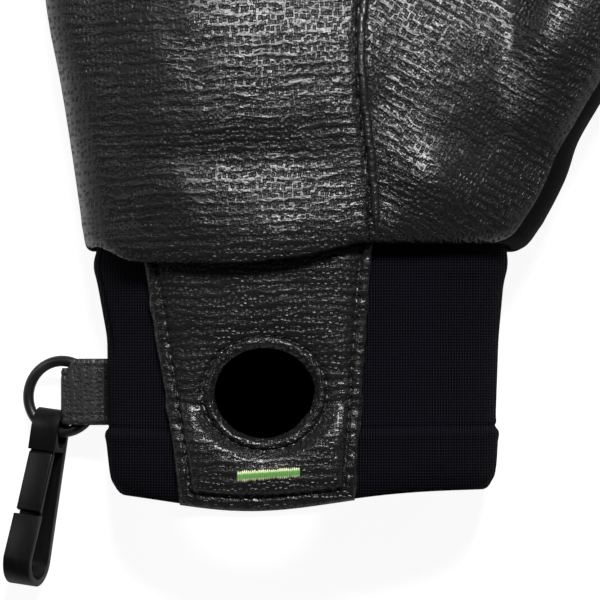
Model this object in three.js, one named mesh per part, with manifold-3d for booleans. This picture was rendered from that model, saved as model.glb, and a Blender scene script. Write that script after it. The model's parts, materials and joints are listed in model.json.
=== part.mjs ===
// Right-hand climbing glove lying on the back of the hand, in millimetres.
// +X points to the thumb side, +Y to the fingertips, +Z out of the palm.
// The origin is on the flat of the back, where the glove rests.
import * as THREE from "three";
import { mergeVertices } from "three/addons/utils/BufferGeometryUtils.js";
import Module from "manifold-3d";

const wasm = await Module();
wasm.setup();

// Hand: palm leather, thumb leather and the softshell back share one shell
const gap = 0.3;
const wall = 2.0;
const palmWidth = 100;
const palmHeight = 40;
const palmLength = 106;
const heelY = -42.5;
const heelLobe = 5.0;
const backDrop = 2.2;
const heelStepX = 11;
const heelStepSpan = 19;
const heelCornerX = -38;
const heelCornerSpan = 13;
const lipSwell = 0.6;
const lipRound = 0.4;
const knuckleDrop = 9;
const knuckleFallX = -8;
const knuckleFallSpan = 55;
const bellyShare = 0.42;
const baseFuller = 0.7;
const floorFlat = 0.8;
const rootDepth = 18;

// Fingers and thumb, lengths from the knuckle line and from the thumb's root
const fingerWidth = 25;
const fingerHeight = 25;
const indexLength = 73;
const middleLength = 82;
const ringLength = 75;
const littleLength = 59;
const thumbWidth = 29;
const thumbHeight = 27;
const thumbLength = 109;
const thumbLean = 27.3;
const thumbRootX = 42;
const thumbRootAhead = 13;
const fingerCurl = 4;

// Knitted cuff with a turned hem
const cuffWidth = 90;
const cuffHeight = 33.5;
const cuffLength = 56.3;
const cuffTuck = 3.5;
const cuffWall = 2.4;
const cuffCentreX = -0.5;
const hemSwing = 4.6;
const hemLowX = -12.6;
const hemSpread = 27;

// Leather wrist tab with its bound hole and bar tack
const tabThickness = 1.8;
const tabTopWidth = 53.6;
const tabHemWidth = 39.8;
const tabCentreX = -8.5;
const tabSkew = 2.6;
const tabTuck = 1.6;
const tabOverhang = 0.3;
const holeX = -9.2;
const holeBelowHeel = 34.2;
const holeRadiusX = 11.4;
const holeRadiusY = 10.3;
const bindingWidth = 2.6;
const bindingProud = 0.5;
const bindingEase = 0.7;
const holeFoot = 18;
const tackWidth = 14.3;
const tackHeight = 2.5;
const tackThickness = 0.6;
const tackTilt = 4;
const tackBelowHole = 18.6;
const tackAside = 0.85;

// Strap loop, split ring and snap hook at the little finger side of the cuff
const strapThickness = 1.2;
const strapRootWidth = 15.7;
const strapFoldWidth = 9.4;
const strapSkew = 0.8;
const strapLength = 11.0;
const strapBelowHeel = 34.1;
const strapRootZ = 9.2;
const strapDroop = 18;
const strapPlay = 0.45;
const ringRadius = 8.2;
const wireRadius = 1.25;
const ringOutreach = 10.9;
const ringDrop = 1.1;
const hookWidth = 6.6;
const hookStock = 1.6;
const hookReach = 36.2;
const hookDepth = 12;
const noseDepth = 9.7;
const hookTilt = 8.2;
const hookRoll = 23;
const eyeHalfLength = 4.9;
const eyeHalfDepth = 3.5;
const eyeWall = 1.0;
const eyeAngle = 21;
const gateLength = 14.2;
const gateWidth = 6.0;
const gateThickness = 1.6;

// Hand sections from the heel to the knuckles: places as shares of palm length, width and height
const handRows = [
  { along: 0.015, left: -0.506, right: 0.515, low: 0.0, high: 0.975, crown: 3.0, drop: 0.0, lobe: 1.0 },
  { along: 0.075, left: -0.518, right: 0.562, low: 0.0, high: 1.0, crown: 2.8, drop: 0.0, lobe: 0.7 },
  { along: 0.16, left: -0.532, right: 0.61, low: 0.0, high: 1.0, crown: 2.7, drop: 0.0, lobe: 0.3 },
  { along: 0.26, left: -0.549, right: 0.632, low: 0.0, high: 0.99, crown: 2.6, drop: 0.0, lobe: 0.0 },
  { along: 0.36, left: -0.567, right: 0.615, low: 0.0, high: 0.965, crown: 2.6, drop: 0.0, lobe: 0.0 },
  { along: 0.47, left: -0.59, right: 0.565, low: 0.0, high: 0.93, crown: 2.6, drop: 0.1, lobe: 0.0 },
  { along: 0.58, left: -0.604, right: 0.505, low: 0.0, high: 0.88, crown: 2.6, drop: 0.3, lobe: 0.0 },
  { along: 0.71, left: -0.61, right: 0.46, low: 0.0, high: 0.82, crown: 2.7, drop: 0.6, lobe: 0.0 },
  { along: 0.84, left: -0.608, right: 0.435, low: 0.0, high: 0.75, crown: 2.9, drop: 0.85, lobe: 0.0 },
  { along: 0.94, left: -0.6, right: 0.425, low: 0.02, high: 0.68, crown: 3.1, drop: 1.0, lobe: 0.0 },
  { along: 1.0, left: -0.575, right: 0.405, low: 0.08, high: 0.59, crown: 3.0, drop: 1.0, lobe: 0.0 },
  { along: 1.025, left: -0.54, right: 0.375, low: 0.18, high: 0.47, crown: 2.6, drop: 1.0, lobe: 0.0 },
];

// Finger sections from the root to the tip: shares of the finger's length, width and height.
// The hollow follows only the rows marked so.
const fingerRows = [
  { along: 0.0, wide: 0.88, tall: 0.96, lift: 0.0, hollow: true },
  { along: 0.2, wide: 0.97, tall: 1.0, lift: 0.0, hollow: false },
  { along: 0.34, wide: 1.0, tall: 1.0, lift: 0.0, hollow: true },
  { along: 0.6, wide: 1.0, tall: 0.97, lift: 0.1, hollow: false },
  { along: 0.82, wide: 0.95, tall: 0.9, lift: 0.45, hollow: true },
  { along: 0.93, wide: 0.77, tall: 0.74, lift: 0.8, hollow: true },
  { along: 0.982, wide: 0.49, tall: 0.47, lift: 1.2, hollow: true },
  { along: 1.0, wide: 0.2, tall: 0.2, lift: 1.7, hollow: false },
];

// Thumb sections, from inside the heel of the thumb to its tip
const thumbRows = [
  { along: 0.0, wide: 0.5, tall: 0.9, lift: 1.2, hollow: true },
  { along: 0.16, wide: 0.94, tall: 1.3, lift: 0.3, hollow: true },
  { along: 0.34, wide: 1.03, tall: 1.28, lift: 0.2, hollow: true },
  { along: 0.5, wide: 1.0, tall: 1.12, lift: 0.6, hollow: true },
  { along: 0.65, wide: 0.97, tall: 1.0, lift: 0.9, hollow: false },
  { along: 0.82, wide: 0.91, tall: 0.9, lift: 1.2, hollow: true },
  { along: 0.92, wide: 0.76, tall: 0.74, lift: 1.6, hollow: true },
  { along: 0.976, wide: 0.48, tall: 0.47, lift: 2.2, hollow: true },
  { along: 1.0, wide: 0.2, tall: 0.2, lift: 2.9, hollow: false },
];

// Where each finger leaves the hand: share of palm width, share of the knuckle drop, lean in degrees
const fingers = [
  { at: 0.3, drop: 0.0, lean: 4, length: indexLength, wide: 1.0 },
  { at: 0.045, drop: 0.0, lean: 0.5, length: middleLength, wide: 1.02 },
  { at: -0.21, drop: 0.15, lean: -3, length: ringLength, wide: 1.0 },
  { at: -0.46, drop: 0.9, lean: -8, length: littleLength, wide: 0.93 },
];

// Cuff sections from the hem up: shares of cuff length, half width and height
const cuffRows = [
  { along: 0.0, left: 0.92, right: 0.93, low: 0.05, high: 0.95, swing: 1.0 },
  { along: 0.03, left: 0.975, right: 0.975, low: 0.0, high: 0.99, swing: 0.95 },
  { along: 0.09, left: 0.99, right: 0.99, low: -0.01, high: 1.0, swing: 0.8 },
  { along: 0.225, left: 1.01, right: 1.0, low: -0.01, high: 1.005, swing: 0.4 },
  { along: 0.26, left: 0.995, right: 0.985, low: -0.01, high: 0.985, swing: 0.3 },
  { along: 0.58, left: 1.0, right: 1.0, low: -0.01, high: 0.985, swing: 0.0 },
  { along: 0.79, left: 1.05, right: 1.025, low: 0.04, high: 1.0, swing: 0.0 },
  { along: 0.86, left: 1.075, right: 1.05, low: 0.075, high: 1.01, swing: 0.0 },
  { along: 0.92, left: 1.05, right: 1.04, low: 0.08, high: 1.01, swing: 0.0 },
  { along: 1.0, left: 1.035, right: 1.035, low: 0.08, high: 1.0, swing: 0.0 },
];

// Height of the side seam at the little finger side and at the thumb side, as shares of palm height
const seamRows = [
  { along: -0.1, outer: 0.43, inner: 0.82 },
  { along: 0.1, outer: 0.43, inner: 0.79 },
  { along: 0.35, outer: 0.43, inner: 0.74 },
  { along: 0.52, outer: 0.415, inner: 0.54 },
  { along: 0.85, outer: 0.36, inner: 0.4 },
  { along: 1.0, outer: 0.33, inner: 0.38 },
  { along: 1.9, outer: 0.34, inner: 0.38 },
];

// Seam between palm and thumb leather, from below the heel round to the web: shares of width and length
const thumbSeam = [
  [0.148, -0.2],
  [0.148, 0.03],
  [0.143, 0.14],
  [0.134, 0.22],
  [0.122, 0.31],
  [0.116, 0.42],
  [0.124, 0.53],
  [0.158, 0.63],
  [0.23, 0.7],
  [0.32, 0.715],
  [0.4, 0.67],
  [0.46, 0.61],
  [0.497, 0.58],
];
const webGap = [
  [0.51, 0.66],
  [0.55, 0.84],
  [0.62, 1.08],
  [0.86, 2.0],
];

const handSides = 36;
const cuffSides = 36;
const fingerSides = 16;
const degree = Math.PI / 180;

const smooth = (t) => THREE.MathUtils.smoothstep(t, 0, 1);
const power = (value, exponent) => Math.sign(value) * Math.abs(value) ** exponent;

// A geometry without its normals, its shared corners merged
function joined(geometry) {
  geometry.deleteAttribute("normal");
  geometry.deleteAttribute("uv");
  return mergeVertices(geometry, 1e-4);
}

// Moves each corner of a geometry to where place() puts it
function shaped(geometry, place) {
  const form = joined(geometry);
  const corners = form.attributes.position;
  const corner = new THREE.Vector3();
  for (let i = 0; i < corners.count; i++) {
    const moved = place(corner.fromBufferAttribute(corners, i).clone());
    corners.setXYZ(i, moved.x, moved.y, moved.z);
  }
  return form;
}

// A closed geometry as a solid to join and cut
function solidOf(geometry) {
  const form = geometry.attributes.normal ? joined(geometry) : geometry;
  return new wasm.Manifold(
    new wasm.Mesh({
      numProp: 3,
      vertProperties: form.attributes.position.array,
      triVerts: new Uint32Array(form.index.array),
    }),
  );
}

function geometryOf(solid) {
  const mesh = solid.getMesh();
  const geometry = new THREE.BufferGeometry();
  geometry.setAttribute("position", new THREE.BufferAttribute(mesh.vertProperties, 3));
  geometry.setIndex(new THREE.BufferAttribute(mesh.triVerts, 1));
  geometry.computeVertexNormals();
  return geometry;
}

// A capped tube whose rings follow the rows: place(row, across, up, rim) gives a corner
function loft(rows, sides, place) {
  const steps = rows.length - 1;
  const tube = new THREE.CylinderGeometry(1, 1, 1, sides, steps);
  return solidOf(
    shaped(tube, (p) => {
      const row = rows[Math.round((p.y + 0.5) * steps)];
      const rim = Math.hypot(p.x, p.z) > 0.5;
      return place(row, rim ? p.x : 0, rim ? p.z : 0, rim);
    }),
  );
}

// Corner of a flat-bottomed oval section: a superellipse with its own crown and base
function ovalPoint(oval, across, up, rim, floor) {
  const middle = (oval.left + oval.right) / 2;
  const belly = oval.low + (oval.high - oval.low) * bellyShare;
  if (!rim) return [middle, belly];
  const half = up >= 0 ? oval.high - belly : belly - oval.low;
  const ease = 2 / (up >= 0 ? oval.crown : oval.crown + baseFuller);
  const x = middle + ((oval.right - oval.left) / 2) * power(across, ease);
  return [x, Math.max(belly + half * power(up, ease), floor)];
}

const grown = (oval, by) => ({
  ...oval,
  left: oval.left - by,
  right: oval.right + by,
  low: oval.low - by,
  high: oval.high + by,
});

// Oval of the cuff at a row, and between rows by straight lines
function cuffOval(row) {
  return {
    y: heelY - cuffLength + row.along * (cuffLength + cuffTuck),
    left: cuffCentreX - (row.left * cuffWidth) / 2,
    right: cuffCentreX + (row.right * cuffWidth) / 2,
    low: row.low * cuffHeight,
    high: row.high * cuffHeight,
    crown: 2.7,
    swing: row.swing,
    lobe: 0,
    drop: 0,
  };
}
const cuffOvals = cuffRows.map(cuffOval);

function cuffAt(y) {
  const last = cuffOvals.length - 2;
  let i = 0;
  while (i < last && cuffOvals[i + 1].y < y) i++;
  const [a, b] = [cuffOvals[i], cuffOvals[i + 1]];
  const t = THREE.MathUtils.clamp((y - a.y) / (b.y - a.y), 0, 1);
  const mixed = {};
  for (const key of Object.keys(a)) mixed[key] = a[key] + (b[key] - a[key]) * t;
  return { ...mixed, y };
}

// The hem hangs lowest left of the middle
const hemCurve = (x) => -hemSwing * Math.exp(-(((x - hemLowX) / hemSpread) ** 2));

// Top of the cuff over a point, on the row that the hem's curve brings there
function cuffTop(x, y) {
  let level = y;
  for (let i = 0; i < 12; i++) level = y - cuffAt(level).swing * hemCurve(x);
  const oval = cuffAt(level);
  const belly = oval.low + (oval.high - oval.low) * bellyShare;
  const share = Math.min(Math.abs((2 * x - oval.left - oval.right) / (oval.right - oval.left)), 1);
  return belly + (oval.high - belly) * (1 - share ** oval.crown) ** (1 / oval.crown);
}

// The palm's heel hangs lower than the thumb's, and both turn up at the outer edge
function heelCurve(x) {
  const lobe = heelLobe * smooth((heelStepX - x) / heelStepSpan);
  const corner = heelLobe * smooth((heelCornerX - x) / heelCornerSpan);
  return corner - lobe;
}

// The knuckle line falls away towards the little finger
const knuckleCurve = (x) => -knuckleDrop * smooth((knuckleFallX - x) / knuckleFallSpan);

// Tube through ovals that lie square to Y
function ovalLoft(ovals, sides, floor) {
  return loft(ovals, sides, (oval, across, up, rim) => {
    const [x, z] = ovalPoint(oval, across, up, rim, floor);
    const onPalm = smooth((up + 0.2) / 0.6);
    const y =
      oval.y +
      oval.swing * hemCurve(x) +
      oval.lobe * (onPalm * heelCurve(x) - (1 - onPalm) * backDrop) +
      oval.drop * knuckleCurve(x);
    return new THREE.Vector3(x, y, z);
  });
}

const handOvals = handRows.map((row) => ({
  y: heelY + row.along * palmLength,
  left: row.left * palmWidth,
  right: row.right * palmWidth,
  low: row.low * palmHeight - floorFlat,
  high: row.high * palmHeight,
  crown: row.crown,
  swing: 0,
  lobe: row.lobe,
  drop: row.drop,
}));

// Shell of the hand round the cuff's end: lip, puffed heel, palm and knuckles
function handBody(inset) {
  const lip = { ...grown(cuffAt(heelY), gap + wall), y: heelY, lobe: 1, swing: 0 };
  lip.high += tabThickness + gap;
  const swell = { ...grown(lip, lipSwell), y: heelY + lipRound };
  if (inset === 0) return ovalLoft([lip, swell, ...handOvals], handSides, 0);
  const throat = grown(cuffAt(heelY), gap);
  const mouth = [
    { ...throat, y: heelY - 3 * heelLobe },
    { ...throat, y: heelY + 2 * wall },
  ];
  const kept = handOvals.filter((oval, i) => i === 2 || i % 2 === 1);
  const hollow = kept.map((oval) => grown(oval, -inset));
  hollow[hollow.length - 1].y -= inset;
  hollow[hollow.length - 2].y -= inset;
  const start = { ...hollow[0], y: heelY + 2 * wall + 1 };
  return ovalLoft([...mouth, start, ...hollow], handSides, inset);
}

// A finger or the thumb along a straight line on the floor
function digit(rows, root, lean, length, width, height, inset) {
  const turn = lean * degree;
  const ahead = new THREE.Vector3(Math.sin(turn), Math.cos(turn), 0);
  const aside = new THREE.Vector3(Math.cos(turn), -Math.sin(turn), 0);
  return loft(rows, fingerSides, (row, across, up, rim) => {
    const oval = {
      left: (-row.wide * width) / 2 + inset,
      right: (row.wide * width) / 2 - inset,
      low: row.lift * fingerCurl - floorFlat + inset,
      high: row.lift * fingerCurl + row.tall * height - inset,
      crown: 2.3,
    };
    const [x, z] = ovalPoint(oval, across, up, rim, inset);
    const reach = row.along * (length - inset);
    return root.clone().addScaledVector(ahead, reach).addScaledVector(aside, x).setZ(z);
  });
}

function fingerBody(finger, inset) {
  const root = new THREE.Vector3(
    finger.at * palmWidth,
    heelY + palmLength - rootDepth - finger.drop * knuckleDrop,
    0,
  );
  const rows = inset ? fingerRows.filter((row) => row.hollow) : fingerRows;
  const length = finger.length + rootDepth;
  const width = finger.wide * fingerWidth;
  return digit(rows, root, finger.lean, length, width, fingerHeight, inset);
}

function thumbBody(inset) {
  const root = new THREE.Vector3(thumbRootX, heelY + thumbRootAhead, 0);
  const rows = inset ? thumbRows.filter((row) => row.hollow) : thumbRows;
  return digit(rows, root, thumbLean, thumbLength, thumbWidth, thumbHeight, inset);
}

function wholeHand(inset) {
  let hand = handBody(inset).add(thumbBody(inset));
  for (const finger of fingers) hand = hand.add(fingerBody(finger, inset));
  return hand;
}

// Block above or below the side seam, a sheet that rises to the thumb side.
// The block is wider than the hand, so both of its edges carry the slope on.
function seamBlock(side) {
  const steps = seamRows.length - 1;
  const block = new THREE.BoxGeometry(1, 1, 1, 1, steps, 1);
  const reach = 2 * palmWidth;
  return solidOf(
    shaped(block, (p) => {
      const row = seamRows[Math.round((p.y + 0.5) * steps)];
      const rise = row.inner - row.outer;
      const share = p.x > 0 ? row.inner + 0.5 * rise : row.outer - 0.3 * rise;
      const seam = share * palmHeight + (side * gap) / 2;
      const onSeam = p.z * side < 0;
      return new THREE.Vector3(
        p.x * 2.2 * palmWidth + 0.2 * palmWidth,
        heelY + row.along * palmLength,
        onSeam ? seam : side * reach,
      );
    }),
  );
}

// Block to the left or right of the seam between palm and thumb leather
function thumbSeamBlock(side) {
  const onPalm = ([x, y]) => new THREE.Vector2(x * palmWidth, heelY + y * palmLength);
  const seam = new THREE.SplineCurve(thumbSeam.map(onPalm)).getPoints(30);
  const line = [...seam, ...webGap.map(onPalm)];
  const edge = line.map((point, i) => {
    const before = line[Math.max(i - 1, 0)];
    const after = line[Math.min(i + 1, line.length - 1)];
    const along = after.clone().sub(before).normalize();
    return new THREE.Vector2(along.y, -along.x).multiplyScalar((side * gap) / 2).add(point);
  });
  const far = side * 2 * palmWidth;
  const first = edge[0];
  const last = edge[edge.length - 1];
  const outline = new THREE.Shape([...edge, new THREE.Vector2(far, last.y), new THREE.Vector2(far, first.y)]);
  const block = new THREE.ExtrudeGeometry(outline, { depth: 3 * palmHeight, bevelEnabled: false });
  return solidOf(block.translate(0, 0, -palmHeight));
}

// Upright oval post that cuts the wrist hole through the palm side alone
function holePost(grow) {
  const post = new THREE.CylinderGeometry(1, 1, 2 * cuffHeight, 32);
  post.rotateX(Math.PI / 2);
  post.scale(holeRadiusX + grow, holeRadiusY + grow, 1);
  return solidOf(post.translate(holeX, heelY - holeBelowHeel, holeFoot + cuffHeight));
}

// Outer form of the cuff, or the room that it takes with a clearance round it
const cuffForm = (clear) => ovalLoft(cuffOvals.map((oval) => grown(oval, clear)), cuffSides, 0);

function cuff() {
  const outer = cuffForm(0);
  const kept = cuffOvals.filter((oval, i) => i % 2 === 0 || i > 5);
  const inside = kept.map((oval) => grown(oval, -cuffWall));
  const past = cuffWall * 2;
  const mouth = { ...inside[0], y: inside[0].y - past };
  const top = { ...inside[inside.length - 1], y: inside[inside.length - 1].y + past };
  return outer.subtract(ovalLoft([mouth, ...inside, top], cuffSides, cuffWall)).subtract(holePost(0));
}

// Slab that lies on the cuff: its four edges as named, bent over the cuff's top
function cuffSlab(columns, rows, place, lift, thickness) {
  const slab = new THREE.BoxGeometry(1, 1, 1, columns, rows, 1);
  return solidOf(
    shaped(slab, (p) => {
      const { x, y } = place(p.x, p.y + 0.5);
      const z = cuffTop(x, y) + lift + (p.z > 0 ? thickness : 0);
      return new THREE.Vector3(x, y, z);
    }),
  );
}

const tabBottom = heelY - cuffLength - tabOverhang;
const tabTop = heelY + tabTuck;

// Across and along shares of the tab to a place on the cuff, with the hem's swing at its end
function onTab(across, along, margin) {
  const width = THREE.MathUtils.lerp(tabHemWidth, tabTopWidth, along);
  const x = tabCentreX - tabSkew * along + across * (width + 2 * margin);
  const y = THREE.MathUtils.lerp(tabBottom + (1 - along) * hemCurve(x) - margin, tabTop + margin, along);
  return { x, y };
}

function wristTab() {
  const slab = cuffSlab(10, 8, (a, b) => onTab(a, b, 0), gap, tabThickness);
  return slab.subtract(holePost(bindingWidth + gap)).subtract(cuffForm(gap));
}

// Room for the tab under the heel's lip
function tabRoom() {
  return cuffSlab(10, 8, (a, b) => onTab(a, b, gap), 0, tabThickness + 2 * gap);
}

function holeBinding() {
  const hoop = new THREE.TorusGeometry(2, 1, 6, 30);
  const height = tabThickness + bindingProud;
  const binding = solidOf(
    shaped(hoop, (p) => {
      const round = Math.atan2(p.y, p.x);
      const out = power(Math.hypot(p.x, p.y) - 2, bindingEase) * 0.5 + 0.5;
      const x = holeX + (holeRadiusX + out * bindingWidth) * Math.cos(round);
      const y = heelY - holeBelowHeel + (holeRadiusY + out * bindingWidth) * Math.sin(round);
      const up = power(p.z, bindingEase) * 0.5 + 0.5;
      return new THREE.Vector3(x, y, cuffTop(x, y) + gap + up * height);
    }),
  );
  return binding.subtract(cuffForm(gap));
}

function barTack() {
  const middleY = heelY - holeBelowHeel - tackBelowHole;
  const rise = Math.tan(tackTilt * degree);
  const onTack = (across, along) => {
    const x = holeX + tackAside + across * tackWidth;
    return { x, y: middleY + (along - 0.5) * tackHeight + across * tackWidth * rise };
  };
  return cuffSlab(4, 1, onTack, gap + tabThickness + gap, tackThickness);
}

// Strap loop seen along the hem: a hairpin round the ring's wire
const strapRoom = wireRadius + strapPlay;
const strapHalf = strapRoom + strapThickness;

function ringStrap() {
  const tip = strapLength - strapThickness;
  const outside = [
    [0.3 * strapLength, -strapHalf],
    [0.65 * strapLength, -strapHalf],
    [0.9 * strapLength, -0.7 * strapHalf],
    [strapLength, 0],
    [0.9 * strapLength, 0.7 * strapHalf],
    [0.65 * strapLength, strapHalf],
    [0.3 * strapLength, strapHalf],
    [0, 0.8 * strapHalf],
  ];
  const inside = [
    [0.3 * strapLength, strapRoom],
    [0.65 * strapLength, strapRoom],
    [0.9 * tip, 0.65 * strapRoom],
    [tip, 0],
    [0.9 * tip, -0.65 * strapRoom],
    [0.65 * strapLength, -strapRoom],
    [0.3 * strapLength, -strapRoom],
    [0, -0.65 * strapRoom],
  ];
  const points = (list) => list.map(([x, y]) => new THREE.Vector2(x, y));
  const outline = new THREE.Shape();
  outline.moveTo(0, -0.8 * strapHalf);
  outline.splineThru(points(outside));
  outline.lineTo(0, 0.65 * strapRoom);
  outline.splineThru(points(inside));
  outline.closePath();
  const strap = new THREE.ExtrudeGeometry(outline, { depth: 1, bevelEnabled: false, curveSegments: 3 });
  return solidOf(
    shaped(strap, (p) => {
      const share = smooth(p.x / (0.75 * strapLength));
      const width = THREE.MathUtils.lerp(strapRootWidth, strapFoldWidth, share);
      return new THREE.Vector3(-p.x, (p.z - 0.5) * width + share * strapSkew, p.y);
    }),
  );
}

// Hook outline seen from its side: x runs along the hook with the eye at 0, y from spine to front
function hookOutline() {
  const bend = hookDepth / 2;
  const inner = bend - hookStock;
  const bendX = -(hookReach - bend);
  const noseEnd = -(eyeHalfLength + gateLength + 3 * gap);
  const outline = new THREE.Shape();
  outline.moveTo(-eyeHalfLength, hookStock);
  outline.lineTo(bendX, hookStock);
  outline.absarc(bendX, bend, inner, -Math.PI / 2, Math.PI / 2, true);
  outline.lineTo(noseEnd, noseDepth - hookStock);
  outline.lineTo(noseEnd, noseDepth);
  outline.lineTo(bendX, hookDepth);
  outline.absarc(bendX, bend, bend, Math.PI / 2, -Math.PI / 2, false);
  outline.lineTo(0, 0);
  outline.absellipse(0, eyeHalfDepth, eyeHalfLength, eyeHalfDepth, -Math.PI / 2, Math.PI / 2, false);
  outline.lineTo(-eyeHalfLength, 2 * eyeHalfDepth);
  outline.closePath();
  return outline;
}

function hookBody() {
  const outline = hookOutline();
  const eye = new THREE.Path();
  const halfLength = eyeHalfLength - eyeWall;
  const halfDepth = eyeHalfDepth - eyeWall;
  eye.absellipse(0, eyeHalfDepth, halfLength, halfDepth, 0, 2 * Math.PI, false);
  outline.holes.push(eye);
  const strip = { depth: hookWidth, bevelEnabled: false, curveSegments: 10 };
  const body = new THREE.ExtrudeGeometry(outline, strip);
  return body.translate(0, 0, -hookWidth / 2);
}

// Gate blade from its pivot at the crimp to the nose, drawn along -x from the pivot
function hookGate() {
  const half = gateThickness / 2;
  const outline = new THREE.Shape();
  outline.moveTo(0, -half);
  outline.absarc(0, 0, half, -Math.PI / 2, Math.PI / 2, false);
  outline.lineTo(-(gateLength - half), half);
  outline.lineTo(-(gateLength - half), -half);
  outline.closePath();
  const strip = { depth: gateWidth, bevelEnabled: false, curveSegments: 6 };
  const blade = new THREE.ExtrudeGeometry(outline, strip);
  return blade.translate(0, 0, -gateWidth / 2);
}

const materials = {
  leather: { color: 0x29292b, roughness: 0.42, metalness: 0 },
  softshell: { color: 0x0f1013, roughness: 0.85, metalness: 0 },
  knit: { color: 0x0d0e14, roughness: 0.95, metalness: 0 },
  thread: { color: 0x5fa54b, roughness: 0.6, metalness: 0 },
  metal: { color: 0x17171a, roughness: 0.4, metalness: 0.4 },
  plastic: { color: 0x141416, roughness: 0.45, metalness: 0 },
};

const glove = new THREE.Group();

function piece(name, form, finish) {
  const geometry = form.isBufferGeometry ? form : geometryOf(form);
  const mesh = new THREE.Mesh(geometry, new THREE.MeshStandardMaterial(materials[finish]));
  mesh.name = name;
  glove.add(mesh);
  return mesh;
}

const shell = wholeHand(0).subtract(wholeHand(wall)).subtract(cuffForm(gap));
const palmHalf = shell.intersect(seamBlock(1)).subtract(tabRoom());
const palmSide = palmHalf.intersect(thumbSeamBlock(-1));
const thumbSide = palmHalf.intersect(thumbSeamBlock(1));
const backHalf = shell.intersect(seamBlock(-1));

piece("palm_panel", palmSide, "leather");
piece("thumb_panel", thumbSide, "leather");
piece("back_panel", backHalf, "softshell");
piece("cuff", cuff(), "knit");
piece("wrist_tab", wristTab(), "leather");
piece("hole_binding", holeBinding(), "leather");
piece("bar_tack", barTack(), "thread");

// Strap, ring and hook hang together: the ring lies in the strap's plane, the hook's eye on the ring
const strapY = heelY - strapBelowHeel;
const strapTurn = -strapDroop * degree;
const strapRoot = new THREE.Vector3(cuffAt(strapY).left - gap, strapY, strapRootZ);
const strap = piece("ring_strap", ringStrap(), "leather");
strap.position.copy(strapRoot);
strap.rotation.y = strapTurn;

const ringCentre = new THREE.Vector3(-ringOutreach, -ringDrop, 0)
  .applyAxisAngle(new THREE.Vector3(0, 1, 0), strapTurn)
  .add(strapRoot);
const ring = piece("ring", joined(new THREE.TorusGeometry(ringRadius, wireRadius, 6, 24)), "metal");
ring.geometry.computeVertexNormals();
ring.position.copy(ringCentre);
ring.rotation.y = strapTurn;

const eyeCentre = new THREE.Vector3(
  -ringRadius * Math.sin(eyeAngle * degree),
  -ringRadius * Math.cos(eyeAngle * degree),
  0,
)
  .applyAxisAngle(new THREE.Vector3(0, 1, 0), strapTurn)
  .add(ringCentre);

// Hook axes: long towards the eye, out from spine to front, wide across the strip
const long = new THREE.Vector3(Math.sin(hookTilt * degree), Math.cos(hookTilt * degree), 0);
const level = new THREE.Vector3(long.y, -long.x, 0);
const wide = level.clone().applyAxisAngle(long, -hookRoll * degree);
const front = wide.clone().cross(long);

const hook = new THREE.Group();
hook.quaternion.setFromRotationMatrix(new THREE.Matrix4().makeBasis(long, front, wide));
hook.position.copy(eyeCentre).addScaledVector(front, -eyeHalfDepth);
glove.add(hook);
hook.add(piece("hook_body", hookBody(), "plastic"));

const gate = piece("hook_gate", hookGate(), "plastic");
const pivotDepth = 2 * eyeHalfDepth - gateThickness / 2;
const restDepth = noseDepth - gateThickness / 2;
gate.position.set(-(eyeHalfLength + gap + gateThickness / 2), pivotDepth, 0);
gate.rotation.z = -Math.asin((restDepth - pivotDepth) / gateLength);
hook.add(gate);

export default glove;
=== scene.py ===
"""Climbing glove: leather, softshell, knit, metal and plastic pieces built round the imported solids."""

import json
import math

import bmesh
import bpy
from bpy.props import FloatProperty, FloatVectorProperty, IntProperty, PointerProperty
from mathutils import Matrix, Vector, noise
from mathutils.bvhtree import BVHTree

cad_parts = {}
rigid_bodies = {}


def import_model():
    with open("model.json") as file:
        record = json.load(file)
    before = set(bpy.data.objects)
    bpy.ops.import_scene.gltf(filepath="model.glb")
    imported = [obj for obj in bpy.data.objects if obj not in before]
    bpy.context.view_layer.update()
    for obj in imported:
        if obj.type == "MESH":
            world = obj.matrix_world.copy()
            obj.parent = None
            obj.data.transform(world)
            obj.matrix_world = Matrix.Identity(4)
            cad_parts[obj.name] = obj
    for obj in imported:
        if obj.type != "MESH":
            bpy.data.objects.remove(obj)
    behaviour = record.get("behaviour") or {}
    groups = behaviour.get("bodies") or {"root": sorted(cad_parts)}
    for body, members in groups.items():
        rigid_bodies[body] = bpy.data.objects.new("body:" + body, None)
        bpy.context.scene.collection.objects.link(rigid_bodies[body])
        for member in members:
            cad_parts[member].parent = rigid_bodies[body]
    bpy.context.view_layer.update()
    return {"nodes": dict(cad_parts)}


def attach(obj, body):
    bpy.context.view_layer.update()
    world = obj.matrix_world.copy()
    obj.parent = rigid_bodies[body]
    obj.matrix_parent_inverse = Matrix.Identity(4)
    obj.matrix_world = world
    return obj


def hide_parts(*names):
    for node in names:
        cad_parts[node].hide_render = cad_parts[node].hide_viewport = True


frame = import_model()

bl_info = {
    "name": "Climbing glove",
    "version": (1, 0, 0),
    "blender": (4, 5, 0),
    "location": "View3D > Sidebar > Glove",
    "description": "Builds the looks of a climbing glove round its solids",
    "category": "Object",
}

MM = 0.001
GAP = 0.3
MERGE = 1e-6

# Hand
HEEL_Y = -42.5
PALM_WIDTH = 100.0
PALM_LENGTH = 106.0
PALM_HEIGHT = 40.0
KNUCKLE_DROP = 9.0

# Where the palm's forms give way to the fingers' creases, and how softly both end above the side seam, in mm
CREASES_Y = 58.0
CREASES_EASE = 14.0
UPPER_EASE = 9.0

# Creases and pads across a finger: shares of its length, and depths and reaches in mm
CREASE_SHARES = (0.3, 0.62)
CREASE_DEPTH = 0.8
CREASE_REACH = 1.6
PAD_AHEAD = 0.09
PAD_HEIGHT = 0.4
PAD_REACH = 5.0
FINGER_REACH = 11.0

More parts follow.
